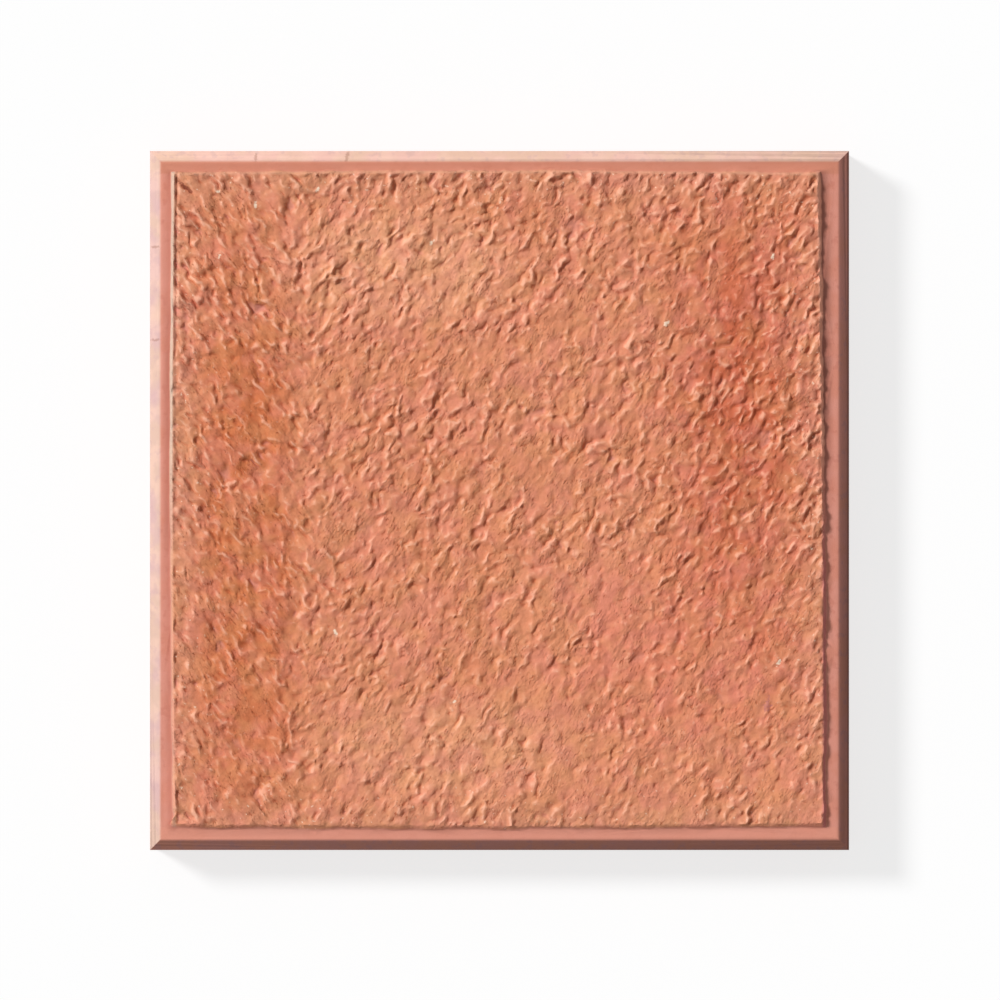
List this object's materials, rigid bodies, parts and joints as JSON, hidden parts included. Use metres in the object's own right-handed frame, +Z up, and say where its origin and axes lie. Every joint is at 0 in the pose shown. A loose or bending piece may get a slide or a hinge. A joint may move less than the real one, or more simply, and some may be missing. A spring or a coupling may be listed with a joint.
{
  "type": "bush-hammered tile",
  "caption": "Square cast paving tile with a raised bush-hammered panel inside a smooth margin and a mitred bevel round its face.",
  "frame": {"origin": "middle of the flat underside, which lies on the floor or bed", "axes": "+X to the right and +Y to the back of the tile as the picture shows it, +Z up out of the hammered face"},
  "size_m": [0.4, 0.4, 0.0413],
  "materials": {
    "tile_body": "matte"
  },
  "bodies": {
    "root": {"tile": "tile_body"}
  },
  "joints": []
}
